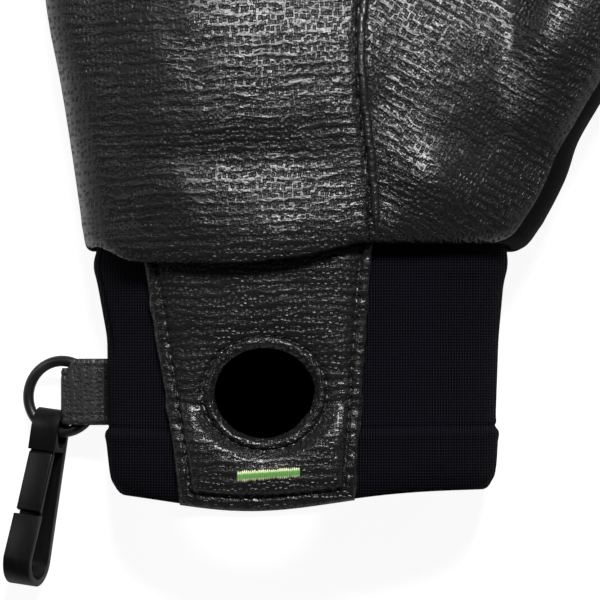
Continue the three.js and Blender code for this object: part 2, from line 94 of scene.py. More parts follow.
# Side seam's sheet: reach in shares of the palm's size, rise in shares of the seam's; half its gap in mm
SHEET_WIDTH = 2.2
SHEET_OUTSIDE = 0.9
SHEET_LENGTH = 2.0
SHEET_BEHIND = 0.1
SHEET_RISE = 1.8
SHEET_START = 0.3
SEAM_GAP = 0.03

# Thumb seam: grooves as place beside the seam, reach and share of the depth, and where they fade out, in mm
SEAM_GROOVES = [(0.1, 0.5, 1.0), (2.5, 0.5, 1.0), (4.3, 0.45, 0.55)]
GROOVE_DEPTH = 0.8
GROOVE_X = 13.0
GROOVE_BAND = 10.0
GROOVE_END_Y = 20.0
GROOVE_EASE = 8.0

# Thumb seam's rolled edge in mm, and its stitches: place, lift, finish, stitch length or None for the usual
WELT_ASIDE = 1.25
WELT_HALF_WIDTH = 0.95
WELT_HEIGHT = 0.9
WELT_LIFT = 0.35
THUMB_STITCHES = [
    (0.05, 0.1, "dark thread", None),
    (2.5, 0.1, "dark thread", None),
    # The inner row's thread is painted pale, a painted highlight for the glints on its stitches.
    (4.3, 0.2, "thread painted with glints", 1.1),
]

# Shell in mm: where the shifted copies start; the passes after which the heel's edge is kept, and its length
COPY_START = 7.0
EDGE_PASSES = 6
EDGE_KEPT = 5.0

# Height at which the patterns turn down the sides, in mm, and the turn of the thumb's pattern
PATTERN_TURN_Z = 18.0
THUMB_GRAIN = math.radians(30)

# Cuff
CUFF_WIDTH = 90.0
CUFF_HEIGHT = 33.5
CUFF_LENGTH = 56.3
CUFF_TUCK = 3.5
CUFF_WALL = 2.4
CUFF_CENTRE = -0.5
HEM_SWING = 4.6
HEM_LOW_X = -12.6
HEM_SPREAD = 27.0
BELLY = 0.42
CUFF_CROWN = 2.7
BASE_FULLER = 0.7
CUFF_SIDES = 240
CUFF_OUTER_ROWS = 110
CUFF_INNER_ROWS = 40

# Cuff's hem line, hem swell and side seam: place as a share of its length or a turn, reach, height in mm
HEM_LINE = (0.242, 0.010, -0.55)
HEM_SWELL = (0.215, 0.02, 0.25)
CUFF_SEAM = (2.86, 0.02, -0.6)
CUFF_SEAM_START = 0.48

# Wrist tab, hole and bar tack
TAB_THICK = 1.8
TAB_TOP_WIDTH = 53.6
TAB_HEM_WIDTH = 39.8
TAB_CENTRE = -8.5
TAB_SKEW = 2.6
TAB_TUCK = 1.6
TAB_OVERHANG = 0.3
HOLE_X = -9.2
HOLE_Y = HEEL_Y - 34.2
HOLE_RX = 11.4
HOLE_RY = 10.3
BINDING = 2.6
BORDER_STITCHES = 0.35
RIM_STITCHES = 0.2
HOLE_POST_FOOT = 18.0
DENT_RISE = 1.3
DENT_REACH = 3.0
PUFF_RISE = 0.5
TACK_STITCHES = 30
TACK_WIDTH = 14.3
TACK_HEIGHT = 2.5
TACK_TILT = 4.0
TACK_ASIDE = 0.85
TACK_Y = HOLE_Y - 18.6

# Strap loop and ring
STRAP_THICK = 1.2
STRAP_ROOT_WIDTH = 15.3
STRAP_FOLD_WIDTH = 13.1
STRAP_SKEW = -1.05
STRAP_Y = HEEL_Y - 34.1
STRAP_ROOT_Z = 9.2
STRAP_DROOP = 18.0
RING_RADIUS = 8.2
WIRE_RADIUS = 1.25
RING_OUTREACH = 10.9
RING_DROP = 1.1

# Strap's middle line: distance out in mm, and height as a share of the room that the wire needs
STRAP_LINE = [
    (0.0, -0.72), (3.3, -1.0), (7.2, -1.0), (9.7, -0.7), (10.4, 0.0),
    (9.7, 0.7), (7.2, 1.0), (3.3, 1.0), (0.0, 0.72),
]

# Hook axes, and the gate's pivot and slope
HOOK_LONG = Vector((0.1426, 0.9898, 0.0))
HOOK_WIDE = Vector((0.9111, -0.1313, 0.3907))
HOOK_FRONT = Vector((-0.3867, 0.0557, 0.9205))
GATE_PIVOT = Vector((-60.714, -91.144, 7.409))
GATE_TILT = math.radians(10.96)

# Gate's tucked ends in mm from its pivot: start, end, underside, upper side at start and end, width
GATE_TONGUES = [(9.5, 15.4, -1.5, -0.55, -0.95, 5.4), (-1.6, 2.0, -0.7, 0.0, 0.0, 5.8)]
TONGUE_ROUND = 0.12

# Stage in metres: lights as name, place, size and watts, the point they face, and the camera's place
LIGHTS = [
    ("key", (0.1, 0.66, 0.9), (0.42, 0.24), 17),
    ("fill_right", (0.95, 0.3, 0.45), (0.6, 0.6), 0.2),
    ("fill_low", (0.1, -1.0, 0.35), (0.9, 0.5), 0.4),
    ("fill_left", (-0.9, 0.35, 0.5), (0.3, 0.3), 0.9),
]
LIT_POINT = (0, -0.04, 0.02)
CAMERA_PLACE = (-0.00116, -0.05544, 3.0)
SENSOR_WIDTH = 36
VIEW_WIDTH = 138.6
WORLD_LIGHT = 0.03
FLOOR_DROP = 0.0002
FLOOR_GLOW = 0.25
FLOOR_SEEN_GLOW = 0.68

# Cuff sections from the hem up: shares of cuff length, half width and height
CUFF_ROWS = [
    (0.0, 0.92, 0.93, 0.05, 0.95, 1.0),
    (0.03, 0.975, 0.975, 0.0, 0.99, 0.95),
    (0.09, 0.99, 0.99, -0.01, 1.0, 0.8),
    (0.225, 1.01, 1.0, -0.01, 1.005, 0.4),
    (0.26, 0.995, 0.985, -0.01, 0.985, 0.3),
    (0.58, 1.0, 1.0, -0.01, 0.985, 0.0),
    (0.79, 1.05, 1.025, 0.04, 1.0, 0.0),
    (0.86, 1.075, 1.05, 0.075, 1.01, 0.0),
    (0.92, 1.05, 1.04, 0.08, 1.01, 0.0),
    (1.0, 1.035, 1.035, 0.08, 1.0, 0.0),
]

# Height of the side seam at the little finger side and at the thumb side, shares of palm length and height
SIDE_SEAM = [
    (-0.1, 0.43, 0.82),
    (0.1, 0.43, 0.79),
    (0.35, 0.43, 0.74),
    (0.52, 0.415, 0.54),
    (0.85, 0.36, 0.4),
    (1.0, 0.33, 0.38),
    (1.9, 0.34, 0.38),
]

# Seam between palm and thumb leather, shares of palm width and length
THUMB_SEAM = [
    (0.148, -0.2),
    (0.148, 0.03),
    (0.143, 0.14),
    (0.134, 0.22),
    (0.122, 0.31),
    (0.116, 0.42),
    (0.124, 0.53),
    (0.158, 0.63),
    (0.23, 0.7),
    (0.32, 0.715),
    (0.4, 0.67),
    (0.46, 0.61),
    (0.497, 0.58),
]
WEB_GAP = [(0.51, 0.66), (0.55, 0.84), (0.62, 1.08), (0.86, 2.0)]

# Each finger: share of palm width at its root, share of the knuckle drop, lean in degrees, length in mm
FINGERS = [
    (0.3, 0.0, 4.0, 73.0),
    (0.045, 0.0, 0.5, 82.0),
    (-0.21, 0.15, -3.0, 75.0),
    (-0.46, 0.9, -8.0, 59.0),
]

# Swells and dents of the palm leather in mm: place, reach across and along, turn in degrees, height
PALM_FORMS = [
    (-34, -12, 34, 30, 20, 2.4),
    (-6, -43, 24, 9, 4, 2.5),
    (-10, -22, 24, 7, 6, -1.4),
    (8, 17, 26, 12, 0, -1.5),
    (-30, -30, 12, 6, -10, 0.6),
    (29, -28, 11, 8, -25, 2.3),
    (19, -8, 5, 22, 0, -1.4),
    (34, 17, 12, 9, -15, -1.7),
    (53, 10, 12, 13, 0, 2.3),
    (44, -20, 9, 9, -30, -0.8),
]

# Fine unevenness of the palm: height, reach across and along in mm, slice of the noise
PALM_RIPPLES = [(0.5, 17, 12, 3.1), (0.22, 6, 4.5, 7.7)]

# Block that mends a small break in the wall at the thumb side of the heel: place, half sizes in mm, and shear
HEEL_PATCH = ((53.2, -37.5, 15.0), (1.0, 2.4, 3.4), 0.62)

# Each panel and its shifted copies in mm, which close the gaps along the seams
PANEL_SHIFTS = [
    ("palm_panel", [(0, 0, 0), (0, 0, -0.6), (0, 0, -1.2)]),
    ("thumb_panel", [(0, 0, 0), (0, 0, -0.6), (0, 0, -1.2), (0.4, 0.3, 0), (-0.4, 0.3, 0), (-0.4, -0.3, 0)]),
    ("back_panel", [(0, 0, 0), (0, 0, 0.6), (0, 0, 1.2)]),
]


class GloveSizes(bpy.types.PropertyGroup):
    """Sizes of the details that the looks add"""

    mesh_size: FloatProperty(name="Panel mesh size", description="Edge length of the panels' mesh",
                             default=0.0009, unit="LENGTH")
    relax: IntProperty(name="Panel smoothing", description="Passes that even the panels out", default=60)
    pit_pitch: FloatProperty(name="Emboss pitch", description="Distance between pits in the leather, in mm",
                             default=1.02)
    knit_pitch: FloatProperty(name="Knit pitch", description="Distance between wales, in mm", default=0.62)
    stitch_length: FloatProperty(name="Stitch length", description="Length of one stitch", default=0.0018,
                                 unit="LENGTH")
    stitch_radius: FloatProperty(name="Stitch radius", description="Half thickness of the thread",
                                 default=0.00022, unit="LENGTH")
    border: FloatProperty(name="Tab border", description="Width of the folded border, in mm", default=2.5)
    edge_round: FloatProperty(name="Hook edge", description="Rounding of the hook's edges", default=0.00032,
                              unit="LENGTH")


def tint(name, description, default):
    return FloatVectorProperty(name=name, description=description, subtype="COLOR", size=3, default=default)


class GloveColors(bpy.types.PropertyGroup):
    """Colours of the finishes"""

    leather: tint("Leather", "Palm and tab leather", (0.0095, 0.0095, 0.0102))
    softshell: tint("Softshell", "Back of the hand", (0.0022, 0.0021, 0.0028))
    knit: tint("Knit", "Cuff", (0.0046, 0.0043, 0.0072))
    thread: tint("Thread", "Dark sewing thread", (0.004, 0.004, 0.0045))
    # Painted highlight: the inner row's thread is painted pale to stand for the glints on its stitches.
    glint_painted_thread: tint("Thread painted with glints", "Inner row of the thumb seam", (0.07, 0.07, 0.068))
    green: tint("Green thread", "Bar tack", (0.15, 0.42, 0.09))
    metal: tint("Metal", "Ring's coating", (0.008, 0.008, 0.009))
    plastic: tint("Plastic", "Snap hook", (0.0045, 0.0045, 0.005))


def smooth(t):
    t = min(max(t, 0.0), 1.0)
    return t * t * (3 - 2 * t)


def power(value, exponent):
    return math.copysign(abs(value) ** exponent, value)


def ridge(value, place, reach, height=1.0):
    """Height at a value of a soft ridge, or of a groove where the height is below zero."""
    return height * math.exp(-(((value - place) / reach) ** 2))


def spline(points, steps):
    """A smooth line through the points."""
    line = []
    last = len(points) - 1
    for i in range(last):
        a, b = points[max(i - 1, 0)], points[i]
        c, d = points[i + 1], points[min(i + 2, last)]
        for k in range(steps):
            t = k / steps
            line.append(tuple(
                0.5 * (2 * q + (r - p) * t + (2 * p - 5 * q + 4 * r - s) * t * t
                       + (3 * q - p - 3 * r + s) * t ** 3)
                for p, q, r, s in zip(a, b, c, d)
            ))
    return line + [tuple(points[last])]


def on_palm(point):
    return (point[0] * PALM_WIDTH, HEEL_Y + point[1] * PALM_LENGTH)


# Cuff form

def hem_curve(x):
    return ridge(x, HEM_LOW_X, HEM_SPREAD, -HEM_SWING)


def cuff_level(y):
    return (y - HEEL_Y + CUFF_LENGTH) / (CUFF_LENGTH + CUFF_TUCK)


def cuff_row(level):
    """The cuff's section at a share of its length, with the rows' corners eased."""
    total = [0.0] * 5
    for k in range(-2, 3):
        at = min(max(level + 0.014 * k, 0.0), 1.0)
        i = 0
        while i < len(CUFF_ROWS) - 2 and CUFF_ROWS[i + 1][0] < at:
            i += 1
        a, b = CUFF_ROWS[i], CUFF_ROWS[i + 1]
        t = (at - a[0]) / (b[0] - a[0])
        total = [n + (p + (q - p) * t) / 5 for n, p, q in zip(total, a[1:], b[1:])]
    left, right, low, high, swing = total
    half = CUFF_WIDTH / 2
    return CUFF_CENTRE - left * half, CUFF_CENTRE + right * half, low * CUFF_HEIGHT, high * CUFF_HEIGHT, swing


def cuff_top(x, y):
    """Height of the cuff's palm side over a point."""
    level = cuff_level(y)
    for _ in range(4):
        level = cuff_level(y - cuff_row(level)[4] * hem_curve(x))
    left, right, low, high, _ = cuff_row(level)
    belly = low + (high - low) * BELLY
    share = min(abs((2 * x - left - right) / (right - left)), 1.0)
    return belly + (high - belly) * (1 - share ** CUFF_CROWN) ** (1 / CUFF_CROWN)


def cuff_point(turn, level, inset):
    """A point of the cuff's wall: turn round it, share of its length and depth under its outside."""
    left, right, low, high, swing = cuff_row(level)
    left, right, low, high = left + inset, right - inset, low + inset, high - inset
    across, up = math.cos(turn), math.sin(turn)
    belly = low + (high - low) * BELLY
    half = high - belly if up >= 0 else belly - low
    ease = 2 / (CUFF_CROWN if up >= 0 else CUFF_CROWN + BASE_FULLER)
    x = (left + right) / 2 + (right - left) / 2 * power(across, ease)
    z = max(belly + half * power(up, ease), inset)
    y = HEEL_Y - CUFF_LENGTH + level * (CUFF_LENGTH + CUFF_TUCK) + swing * hem_curve(x)
    return Vector((x, y, z))


# Mesh helpers

def sizes():
    return bpy.context.scene.glove_sizes


def merged(node):
    """A copy of a CAD node's mesh with its loose triangles joined, in metres."""
    bm = bmesh.new()
    bm.from_mesh(frame["nodes"][node].data)
    bmesh.ops.remove_doubles(bm, verts=bm.verts, dist=MERGE)
    return bm


def loose(bm, name):
    """Makes a bmesh an object of the scene."""
    mesh = bpy.data.meshes.new(name)
    bm.to_mesh(mesh)
    bm.free()
    piece = bpy.data.objects.new(name, mesh)
    bpy.context.scene.collection.objects.link(piece)
    return piece


def finish_mesh(bm, name, finish, node=None, pattern=None, body="glove", scale=MM):
    """Turns a bmesh, usually in millimetres, into a piece that rides on its body."""
    bmesh.ops.scale(bm, vec=(scale, scale, scale), verts=bm.verts)
    for face in bm.faces:
        face.smooth = True
    piece = loose(bm, name)
    piece.data.materials.append(material(finish))
    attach(piece, body)
    if node:
        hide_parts(node)
    if pattern:
        note_pattern(piece, pattern)


def outward(bm):
    bmesh.ops.remove_doubles(bm, verts=bm.verts, dist=0.0005)
    bmesh.ops.recalc_face_normals(bm, faces=bm.faces)
    return bm


def grid(columns, rows):
    """A flat grid whose corners lie at shares from 0 to 1."""
    bm = bmesh.new()
    bmesh.ops.create_grid(bm, x_segments=columns, y_segments=rows, size=0.5)
    bmesh.ops.translate(bm, vec=(0.5, 0.5, 0), verts=bm.verts)
    return bm


def tube(place, steps, sides, closed=False):
    """A grid rolled up: place(along, turn) gives a point; its ends are capped unless it closes on itself."""
    bm = grid(steps, sides)
    for v in bm.verts:
        v.co = place(v.co.x, v.co.y * 2 * math.pi)
    bmesh.ops.remove_doubles(bm, verts=bm.verts, dist=0.0005)
    if not closed:
        ends = [e for e in bm.edges if e.is_boundary]
        bmesh.ops.holes_fill(bm, edges=ends)
    return outward(bm)


def slab(columns, rows, place):
    """A closed sheet: place(across, along, upper) gives the points of its two sides."""
    bm = grid(columns, rows)
    made = bmesh.ops.extrude_face_region(bm, geom=bm.faces[:], use_keep_orig=True)
    upper = {v for v in made["geom"] if isinstance(v, bmesh.types.BMVert)}
    for v in bm.verts:
        v.co = place(v.co.x, v.co.y, v in upper)
    bmesh.ops.recalc_face_normals(bm, faces=bm.faces)
    return bm


def stitch_row(points, length=None, spare=0.45):
    """Stitches along a line of points, each a small rounded thread that lies on the surface."""
    bm = bmesh.new()
    radius = sizes().stitch_radius / MM
    length = length or sizes().stitch_length / MM
    pitch = length * (1 + spare)
    run = [0.0]
    for a, b in zip(points, points[1:]):
        run.append(run[-1] + (b - a).length)
    count = int(run[-1] / pitch)
    j = 0
    for i in range(count):
        at = (i + 0.5) * pitch
        while run[j + 1] < at:
            j += 1
        t = (at - run[j]) / (run[j + 1] - run[j])
        middle = points[j].lerp(points[j + 1], t)
        along = (points[j + 1] - points[j]).normalized()
        side = along.cross(Vector((0, 0, 1))).normalized()
        out = side.cross(along)
        basis = Matrix((along * length / 2, side * radius, out * radius)).transposed().to_4x4()
        lie = Matrix.Translation(middle) @ basis @ Matrix.Rotation(math.pi / 2, 4, "Y")
        bmesh.ops.create_uvsphere(bm, u_segments=8, v_segments=6, radius=1.0, matrix=lie)
    bmesh.ops.recalc_face_normals(bm, faces=bm.faces)
    return bm


def note_pattern(piece, pattern):
    """Stores where the surface pattern lies at each point, in millimetres."""
    mesh = piece.data
    layer = mesh.attributes.new("pattern", "FLOAT_VECTOR", "POINT")
    values = []
    for v in mesh.vertices:
        values.extend(pattern(v.co / MM))
    layer.data.foreach_set("vector", values)


# Materials

class Finish:
    """A node material: add() makes a node, whose inputs are numbers, colours or other nodes' sockets."""

    def __init__(self, name):
        self.material = bpy.data.materials.new(name)
        self.material.use_nodes = True
        self.nodes = self.material.node_tree.nodes
        self.links = self.material.node_tree.links
        self.shader = self.nodes["Principled BSDF"]

    def put(self, socket, value):
        if isinstance(value, bpy.types.NodeSocket):
            self.links.new(value, socket)
        else:
            socket.default_value = value

    def add(self, kind, inputs=None, output=0, **settings):
        node = self.nodes.new("ShaderNode" + kind)
        for key, value in settings.items():
            setattr(node, key, value)
        for key, value in (inputs or {}).items():
            self.put(node.inputs[key], value)
        return node.outputs[output]

    def math(self, operation, a, b=0.0, c=0.0):
        return self.add("Math", {0: a, 1: b, 2: c}, operation=operation)

    def step(self, value, low, high):
        return self.add("MapRange", {"Value": value, "From Min": low, "From Max": high},
                        interpolation_type="SMOOTHSTEP")

    def between(self, factor, a, b):
        """Mixes two colours."""
        node = self.nodes.new("ShaderNodeMix")
        node.data_type = "RGBA"
        self.put(node.inputs[0], factor)
        self.put(node.inputs[6], a)
        self.put(node.inputs[7], b)
        return node.outputs[2]

    def noise(self, spot, scale, detail=2.0, output=0):
        return self.add("TexNoise", {"Vector": spot, "Scale": scale, "Detail": detail}, output)

    def wave(self, spot, scale, distortion, direction="X", detail=2.0, detail_scale=1.0):
        inputs = {"Vector": spot, "Scale": scale, "Distortion": distortion, "Detail": detail,
                  "Detail Scale": detail_scale}
        return self.add("TexWave", inputs, 1, bands_direction=direction)

    def scaled(self, spot, factors):
        return self.add("VectorMath", {0: spot, 1: factors}, operation="MULTIPLY")

    def place(self):
        return self.add("TexCoord", output=3)

    def pattern(self):
        return self.add("Attribute", output=1, attribute_name="pattern")

    def bump(self, height, distance, strength=1.0):
        return self.add("Bump", {"Height": height, "Distance": distance, "Strength": strength})

    def surface(self, **values):
        """Sets the shader's inputs and returns the material."""
        names = {
            "color": "Base Color", "roughness": "Roughness", "normal": "Normal",
            "specular": "Specular IOR Level", "sheen": "Sheen Weight", "glow": "Emission Color",
            "glow_strength": "Emission Strength", "coat": "Coat Weight", "coat_roughness": "Coat Roughness",
        }
        for key, value in values.items():
            self.put(self.shader.inputs[names[key]], value)
        return self.material


def rgba(color, gain=1.0):
    return (color[0] * gain, color[1] * gain, color[2] * gain, 1.0)


def leather(name, color, gloss=0.27, depth=0.00034):
    """Embossed leather: wavy rows of short pits between smooth raised bands, with the pits painted darker as
    shade.
    """
    m = Finish(name)
    spot = m.pattern()
    shift = m.scaled(m.noise(spot, 0.11, 3.0, 1), (1.0, 2.6, 0.0))
    spot = m.add("VectorMath", {0: spot, 1: shift}, operation="ADD")
    pitch = sizes().pit_pitch
    cell = m.scaled(spot, (1 / pitch, 1 / (1.25 * pitch), 0.0))
    dot = m.add("TexVoronoi", {"Vector": cell, "Scale": 1.0, "Randomness": 0.65}, voronoi_dimensions="2D",
                distance="CHEBYCHEV")
    pit = m.math("SUBTRACT", 1.0, m.step(dot, 0.18, 0.42))
    rows = m.wave(spot, 0.132, 2.2, "Y", 3.0, 2.2)
    patch = m.step(m.noise(spot, 0.16), 0.3, 0.62)
    band = m.math("MAXIMUM", m.step(rows, 0.12, 0.42), m.math("SUBTRACT", 0.8, patch))
    pits = m.math("MULTIPLY", pit, band)
    long_grain = m.noise(m.scaled(spot, (0.7, 1.9, 0.0)), 1.0, 3.0)
    fine = m.noise(spot, 2.2)
    height = m.math("MULTIPLY_ADD", long_grain, 0.55, m.math("MULTIPLY", pits, -0.75))
    height = m.math("MULTIPLY_ADD", m.math("MULTIPLY", rows, patch), -0.38, height)
    height = m.math("MULTIPLY_ADD", fine, 0.12, height)
    cloud = m.noise(spot, 0.11, 4.0)
    # Painted shade: the pits are painted darker than the raised leather round them.
    tone = m.between(pits, rgba(color, 1.2), rgba(color, 0.25))
    tone = m.between(m.step(cloud, 0.35, 0.7), tone, rgba(color, 0.8))
    rough = m.add("MapRange", {"Value": cloud, "From Min": 0.3, "From Max": 0.7, "To Min": gloss - 0.05,
                               "To Max": gloss + 0.06})
    rough = m.math("MULTIPLY_ADD", pits, 0.25, rough)
    return m.surface(color=tone, roughness=rough, normal=m.bump(height, depth), specular=0.5)


def softshell(name, color):
    """Stretch fabric with a tight plain weave."""
    m = Finish(name)
    spot = m.place()
    grain = m.noise(spot, 2600.0)
    cloud = m.noise(spot, 60.0, 3.0)
    across = m.wave(spot, 520.0, 0.6)
    along = m.wave(spot, 520.0, 0.6, "Y")
    weave = m.math("MULTIPLY_ADD", m.math("MULTIPLY", across, along), 0.6, grain)
    tone = m.between(cloud, rgba(color, 0.8), rgba(color, 1.3))
    return m.surface(color=tone, roughness=0.82, normal=m.bump(weave, 0.00008, 0.7), specular=0.1)


def knit(name, color):
    """Fine knit: wales along the cuff, courses round it, with painted shade in the hollows between the loops
    and painted light on their crests.
    """
    m = Finish(name)
    spot = m.pattern()
    scale = math.pi / (10 * sizes().knit_pitch)
    wales = m.wave(spot, scale, 0.5, "X", 1.0, 0.4)
    courses = m.wave(spot, scale * 0.95, 0.5, "Y", 1.0, 0.4)
    loops = m.math("MULTIPLY_ADD", courses, 0.45, wales)
    cloud = m.noise(spot, 0.16, 3.0)
    # Painted shade and light: the loops' hollows are painted dark and their crests pale.
    tone = m.between(m.step(loops, 0.35, 1.3), rgba(color, 0.15), rgba(color, 2.6))
    tone = m.between(m.math("MULTIPLY", m.step(cloud, 0.35, 0.75), 0.35), tone, rgba(color, 1.2))
    return m.surface(color=tone, roughness=0.85, normal=m.bump(loops, 0.0003), specular=0.06)


def thread(name, color):
    """Twisted sewing thread, with painted shade in the grooves between its plies and painted light on their
    crests.
    """
    m = Finish(name)
    spot = m.place()
    ply = m.wave(spot, 900.0, 1.5, "DIAGONAL")
    # Painted shade and light: darker in the grooves between the plies, lighter on their crests.
    tone = m.between(ply, rgba(color, 0.6), rgba(color, 1.5))
    return m.surface(color=tone, roughness=0.5, normal=m.bump(ply, 0.00008), specular=0.5)


def satin(name, color):
    """Satin-stitched thread: paler towards both ends of each stitch, a painted highlight where the thread
    turns over.
    """
    m = Finish(name)
    spot = m.pattern()
    sort = m.add("SeparateXYZ", {0: spot}, output=1)
    # Mask of each stitch's ends, where a painted highlight lightens the colour.
    edge = m.step(m.math("ABSOLUTE", sort), 0.25, 0.8)
    strand = m.noise(m.scaled(spot, (9.0, 0.8, 0.0)), 1.0)
    tone = m.between(strand, rgba(color, 0.6), rgba(color, 1.35))
    # Painted highlight: the stitch ends are mixed towards pale yellow.
    tone = m.between(m.math("MULTIPLY", edge, 0.85), tone, (1.0, 1.0, 0.62, 1.0))
    return m.surface(color=tone, roughness=0.42, normal=m.bump(strand, 0.00012), specular=0.5, sheen=0.2)


def coated_metal(name, color):
    """Black coated wire, with the coat slightly orange-peeled."""
    m = Finish(name)
    spot = m.place()
    peel = m.noise(spot, 900.0)
    wear = m.noise(spot, 220.0, 5.0)
    tone = m.between(m.step(wear, 0.55, 0.75), rgba(color), rgba(color, 1.9))
    rough = m.add("MapRange", {"Value": wear, "To Min": 0.28, "To Max": 0.44})
    return m.surface(color=tone, roughness=rough, normal=m.bump(peel, 0.00004, 0.5), specular=0.5, coat=0.3,
                     coat_roughness=0.25)


def moulded_plastic(name, color):
    """Satin moulded plastic with faint handling marks."""
    m = Finish(name)
    spot = m.place()
    grain = m.noise(spot, 2200.0)
    marks = m.noise(m.scaled(spot, (700.0, 90.0, 300.0)), 1.0, 4.0)
    tone = m.between(m.step(marks, 0.5, 0.8), rgba(color), rgba(color, 1.5))
    rough = m.add("MapRange", {"Value": marks, "To Min": 0.26, "To Max": 0.42})
    return m.surface(color=tone, roughness=rough, normal=m.bump(grain, 0.00003, 0.5), specular=0.22)


def material(name):
    """Makes a finish the first time it is asked for."""
    found = bpy.data.materials.get(name)
    if found:
        return found
    colors = bpy.context.scene.glove_colors
    makers = {
        "palm leather": lambda: leather(name, colors.leather),
        "tab leather": lambda: leather(name, colors.leather, gloss=0.27, depth=0.00026),
        "edge leather": lambda: leather(name, colors.leather, gloss=0.3, depth=0.0001),
        # Thread painted pale as a painted highlight for the glints on the inner seam row.
        "thread painted with glints": lambda: thread(name, colors.glint_painted_thread),
        # Painted light: the strap's leather is the leather's colour made 3.2 times lighter, standing in for
        # the sheen it catches.
        "strap leather painted lighter": lambda: leather(name, [c * 3.2 for c in colors.leather], gloss=0.36, depth=0.0003),
        "softshell cloth": lambda: softshell(name, colors.softshell),
        "ribbed knit": lambda: knit(name, colors.knit),
        "dark thread": lambda: thread(name, colors.thread),
        "green thread": lambda: satin(name, colors.green),
        "black metal": lambda: coated_metal(name, colors.metal),
        "hook plastic": lambda: moulded_plastic(name, colors.plastic),
    }
    return makers[name]()


# Hand panels

def palm_swell(x, y):
    """How much the palm leather stands up or sinks at a point, in mm."""
    total = 0.0
    for px, py, across, along, turn, height in PALM_FORMS:
        c, s = math.cos(math.radians(turn)), math.sin(math.radians(turn))
        dx, dy = x - px, y - py
        u, v = (dx * c + dy * s) / across, (dy * c - dx * s) / along
        total += height * math.exp(-(u * u + v * v))
    for height, across, along, level in PALM_RIPPLES:
        total += height * noise.noise(Vector((x / across, y / along, level)))
    return total


def finger_creases(x, y):
    """Creases across the palm side of the fingers at their joints, in mm."""
    total = 0.0
    for at, drop, lean, length in FINGERS:
        root = Vector((at * PALM_WIDTH, HEEL_Y + PALM_LENGTH - drop * KNUCKLE_DROP))
        turn = math.radians(lean)
        out = Vector((x, y)) - root
        ahead = out.x * math.sin(turn) + out.y * math.cos(turn)
        aside = out.x * math.cos(turn) - out.y * math.sin(turn)
        near = math.exp(-((aside / FINGER_REACH) ** 4))
        for share in CREASE_SHARES:
            total -= ridge(ahead, share * length, CREASE_REACH, CREASE_DEPTH * near)
            total += ridge(ahead, (share + PAD_AHEAD) * length, PAD_REACH, PAD_HEIGHT * near)
    return total


def seam_height(x, y):
    """Height of the side seam's sheet over a point, in mm."""
    at = (y - HEEL_Y) / PALM_LENGTH
    i = 0
    while i < len(SIDE_SEAM) - 2 and SIDE_SEAM[i + 1][0] < at:
        i += 1
    a, b = SIDE_SEAM[i], SIDE_SEAM[i + 1]
    t = (at - a[0]) / (b[0] - a[0])
    outer, inner = a[1] + (b[1] - a[1]) * t, a[2] + (b[2] - a[2]) * t
    rise = inner - outer
    across = (x / PALM_WIDTH + SHEET_OUTSIDE) / SHEET_WIDTH
    return (outer - SHEET_START * rise + SHEET_RISE * rise * across) * PALM_HEIGHT


def join(bm, part):
    """Adds one bmesh to another."""
    mesh = bpy.data.meshes.new("part")
    part.to_mesh(mesh)
    part.free()
    bm.from_mesh(mesh)
    bpy.data.meshes.remove(mesh)


def close_cut(bm, place, ahead):
    """Cuts off what lies behind a plane and closes the cut."""
    bmesh.ops.bisect_plane(bm, geom=bm.verts[:] + bm.edges[:] + bm.faces[:], plane_co=place, plane_no=ahead,
                           clear_inner=True)
    bmesh.ops.holes_fill(bm, edges=[e for e in bm.edges if e.is_boundary])


def heel_patch():
    """Slanted block that fills the break in the heel's wall."""
    place, half, shear = HEEL_PATCH
    bm = bmesh.new()
    bmesh.ops.create_cube(bm, size=2)
    for v in bm.verts:
        x, y, z = v.co * Vector(half)
        v.co = (Vector(place) + Vector((x + shear * y, y, z))) * MM
    return bm


def hand_shell():
    """The three panels' solids as one evened-out shell, in mm."""
    bm = bmesh.new()
    for node, shifts in PANEL_SHIFTS:
        for shift in shifts:
            panel = merged(node)
            if any(shift):
                bmesh.ops.translate(panel, vec=Vector(shift) * MM, verts=panel.verts)
                close_cut(panel, (0, (HEEL_Y + COPY_START) * MM, 0), (0, 1, 0))
            join(bm, panel)
    join(bm, heel_patch())
    piece = loose(bm, "shell")
    remesh = piece.modifiers.new("remesh", "REMESH")
    remesh.mode = "VOXEL"
    remesh.voxel_size = sizes().mesh_size
    shape = bmesh.new()
    shape.from_object(piece, bpy.context.evaluated_depsgraph_get())
    bpy.data.objects.remove(piece)
    bmesh.ops.scale(shape, vec=(1 / MM,) * 3, verts=shape.verts)
    for done in range(sizes().relax):
        kept = HEEL_Y + EDGE_KEPT
        moving = shape.verts[:] if done < EDGE_PASSES else [v for v in shape.verts if v.co.y > kept]
        bmesh.ops.smooth_vert(shape, verts=moving, factor=0.5, use_axis_x=True, use_axis_y=True,
                              use_axis_z=True)
    return shape


def seam_groove(line, x, y):
    """Depth of the grooves on both sides of the thumb seam's rolled edge, in mm."""
    if abs(x - GROOVE_X) > GROOVE_BAND or y > GROOVE_END_Y:
        return 0.0
    i = 0
    while i < len(line) - 2 and line[i + 1].y < y:
        i += 1
    a, b = line[i], line[i + 1]
    out = (x - a.lerp(b, (y - a.y) / (b.y - a.y)).x) * abs(b.y - a.y) / (b - a).length
    deep = sum(ridge(out, *groove) for groove in SEAM_GROOVES)
    return GROOVE_DEPTH * deep * smooth((GROOVE_END_Y - y) / GROOVE_EASE)


def shape_palm(bm):
    """Moves the palm side of the shell by its swells, dents and creases."""
    line = [p for p in thumb_line() if p.y < GROOVE_END_Y + 4]
    for v in bm.verts:
        x, y, z = v.co
        upper = smooth((z - seam_height(x, y)) / UPPER_EASE)
        if upper <= 0:
            continue
        hand = smooth((CREASES_Y - y) / CREASES_EASE)
        lift = hand * palm_swell(x, y) + (1 - hand) * finger_creases(x, y)
        v.co.z += upper * (lift - seam_groove(line, x, y))


